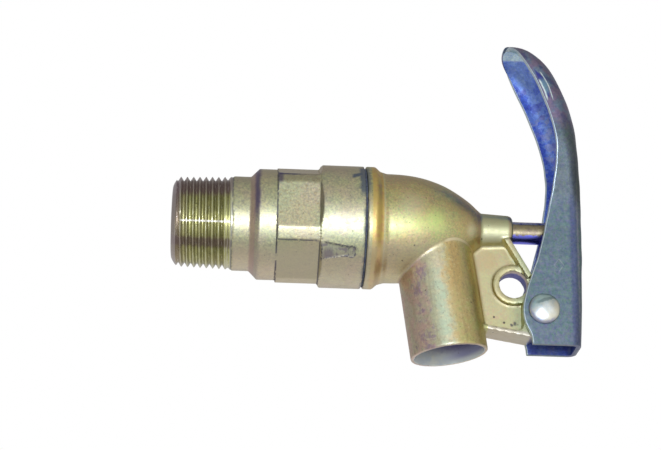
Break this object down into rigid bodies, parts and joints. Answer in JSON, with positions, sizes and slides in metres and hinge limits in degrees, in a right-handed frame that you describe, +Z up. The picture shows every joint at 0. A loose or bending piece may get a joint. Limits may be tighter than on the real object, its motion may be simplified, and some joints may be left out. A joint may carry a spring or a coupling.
{
  "type": "drum faucet",
  "caption": "Self-closing brass drum faucet with a threaded inlet, wrench hexagon, downward spout, spring-loaded poppet, push stem, padlock web and pressed steel thumb lever.",
  "frame": {"origin": "centre of the inlet's open end, on the valve axis", "axes": "+X along the valve axis from the inlet mouth to the lever, +Z up from the spout towards the lever's tip, +Y to the left when looking from the inlet to the lever; the pictured side is -Y"},
  "size_m": [0.1191, 0.0356, 0.0978],
  "materials": {
    "cast_brass": "satin, fine cast grain",
    "turned_brass": "turned, semi-bright",
    "plated_steel": "satin zinc plating",
    "rivet_steel": "bright zinc plating",
    "spring_steel": "drawn stainless wire",
    "screen_steel": "woven stainless wire",
    "ptfe": "matte",
    "o_ring_rubber": "matte"
  },
  "bodies": {
    "faucet_body": {"inlet_body": "cast_brass", "outlet_elbow": "cast_brass", "body_gasket": "ptfe", "flame_screen": "screen_steel", "screen_ring": "spring_steel", "closing_spring": "spring_steel"},
    "stem": {"valve_stem": "turned_brass", "valve_disc": "turned_brass", "seal_washer": "ptfe", "washer_retainer": "turned_brass", "lock_washer": "spring_steel", "stem_nut": "turned_brass", "stem_o_ring_inner": "o_ring_rubber", "stem_o_ring_outer": "o_ring_rubber"},
    "lever": {"lever": "plated_steel", "pivot_rivet": "rivet_steel"}
  },
  "joints": [
    {"name": "lever_pivot", "type": "hinge", "parent": "faucet_body", "child": "lever", "pos_m": [0.1071, 0, -0.025], "axis": [0, -1, 0], "range_deg": [0, 12], "stiffness_Nm_per_rad": 0.725, "springref_deg": -27.5},
    {"name": "stem_slide", "type": "slide", "parent": "faucet_body", "child": "stem", "axis": [-1, 0, 0], "range_m": [0, 0.0053], "deforming": ["closing_spring"]}
  ],
  "couplings": [
    {"joint": "stem_slide", "follows": "lever_pivot", "m_per_rad": 0.025}
  ]
}
